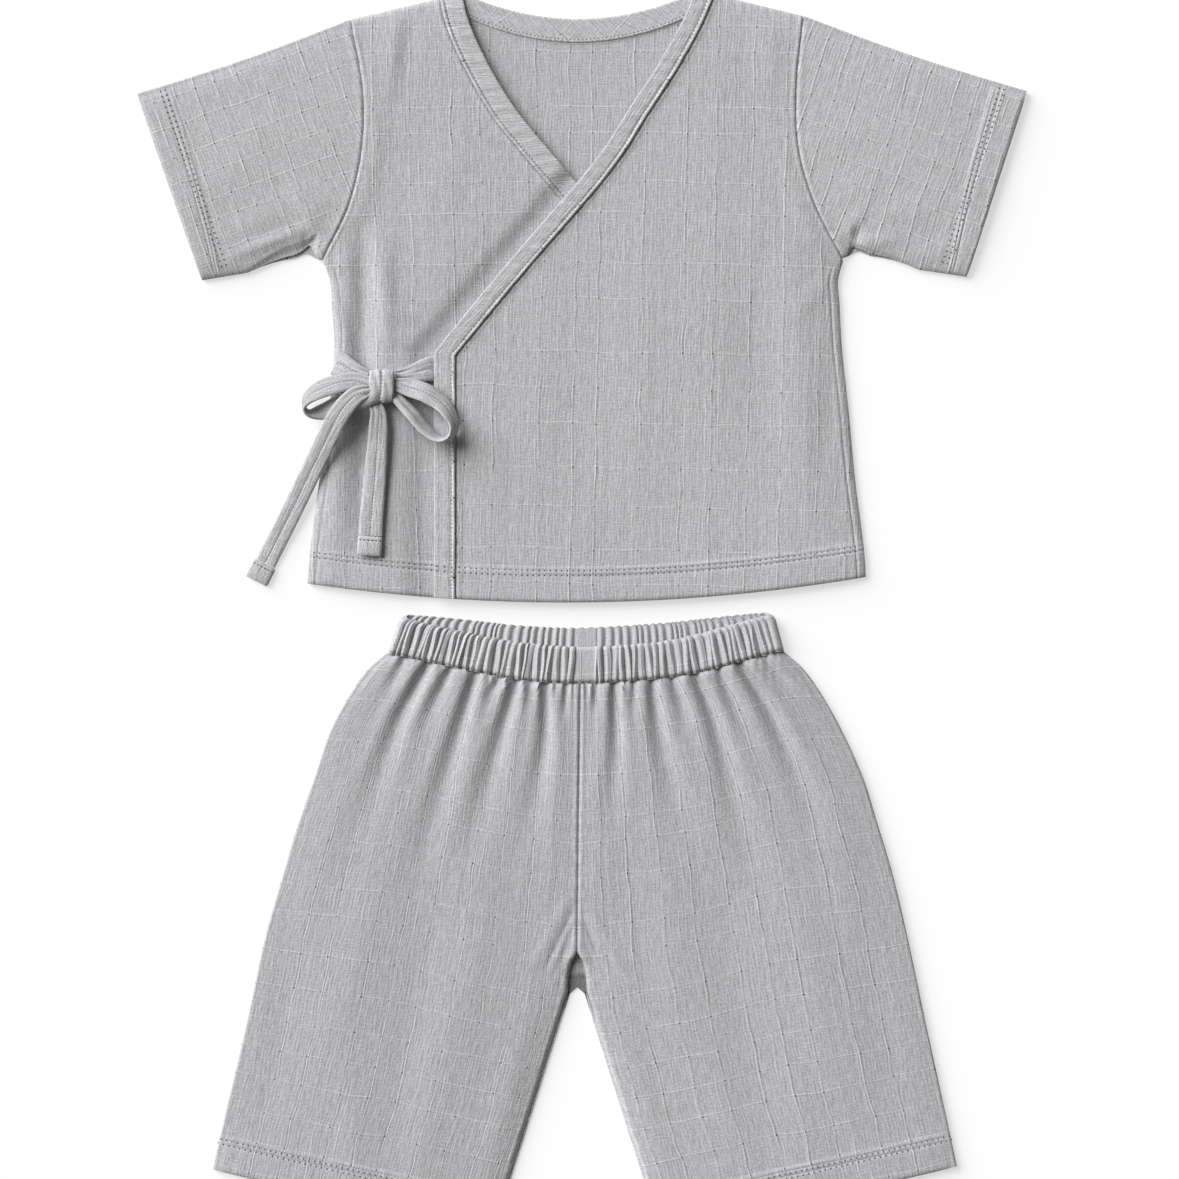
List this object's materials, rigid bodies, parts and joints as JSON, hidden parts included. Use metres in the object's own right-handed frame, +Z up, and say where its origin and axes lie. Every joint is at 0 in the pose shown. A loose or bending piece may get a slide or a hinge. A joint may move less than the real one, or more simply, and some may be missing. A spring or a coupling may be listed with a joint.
{
  "type": "infant wrap top and trousers set",
  "caption": "Infant's short-sleeved wrap top tied with a side bow, and pull-on trousers with a gathered waist, laid flat as a set.",
  "frame": {"origin": "middle of the bounding box, on the surface that the set lies on", "axes": "+Z up from the surface, +Y from the trousers' hems towards the top's neck, +X towards the side of the over front's sleeve, to the right as seen from above"},
  "size_m": [0.445, 0.6219, 0.0163],
  "materials": {
    "body_cloth": "matte slub cotton gauze",
    "sleeve_cloth": "matte slub cotton gauze",
    "leg_cloth": "matte slub cotton gauze",
    "binding_cloth": "matte slub cotton gauze, cut on the bias",
    "tie_cloth": "matte slub cotton gauze",
    "waistband_cloth": "matte slub cotton gauze over elastic"
  },
  "bodies": {
    "root": {"top_back": "body_cloth", "top_front_under": "body_cloth", "top_front_over": "body_cloth", "binding_over": "binding_cloth", "binding_under": "binding_cloth", "binding_neck": "binding_cloth", "sleeve_left": "sleeve_cloth", "sleeve_right": "sleeve_cloth", "tie_side": "tie_cloth", "tie_front": "tie_cloth", "bow_loop_left": "tie_cloth", "bow_loop_right": "tie_cloth", "bow_knot": "tie_cloth", "tie_tail_left": "tie_cloth", "tie_tail_right": "tie_cloth", "tie_end_left": "tie_cloth", "tie_end_right": "tie_cloth", "waistband": "waistband_cloth", "leg_left": "leg_cloth", "leg_right": "leg_cloth"}
  },
  "joints": []
}
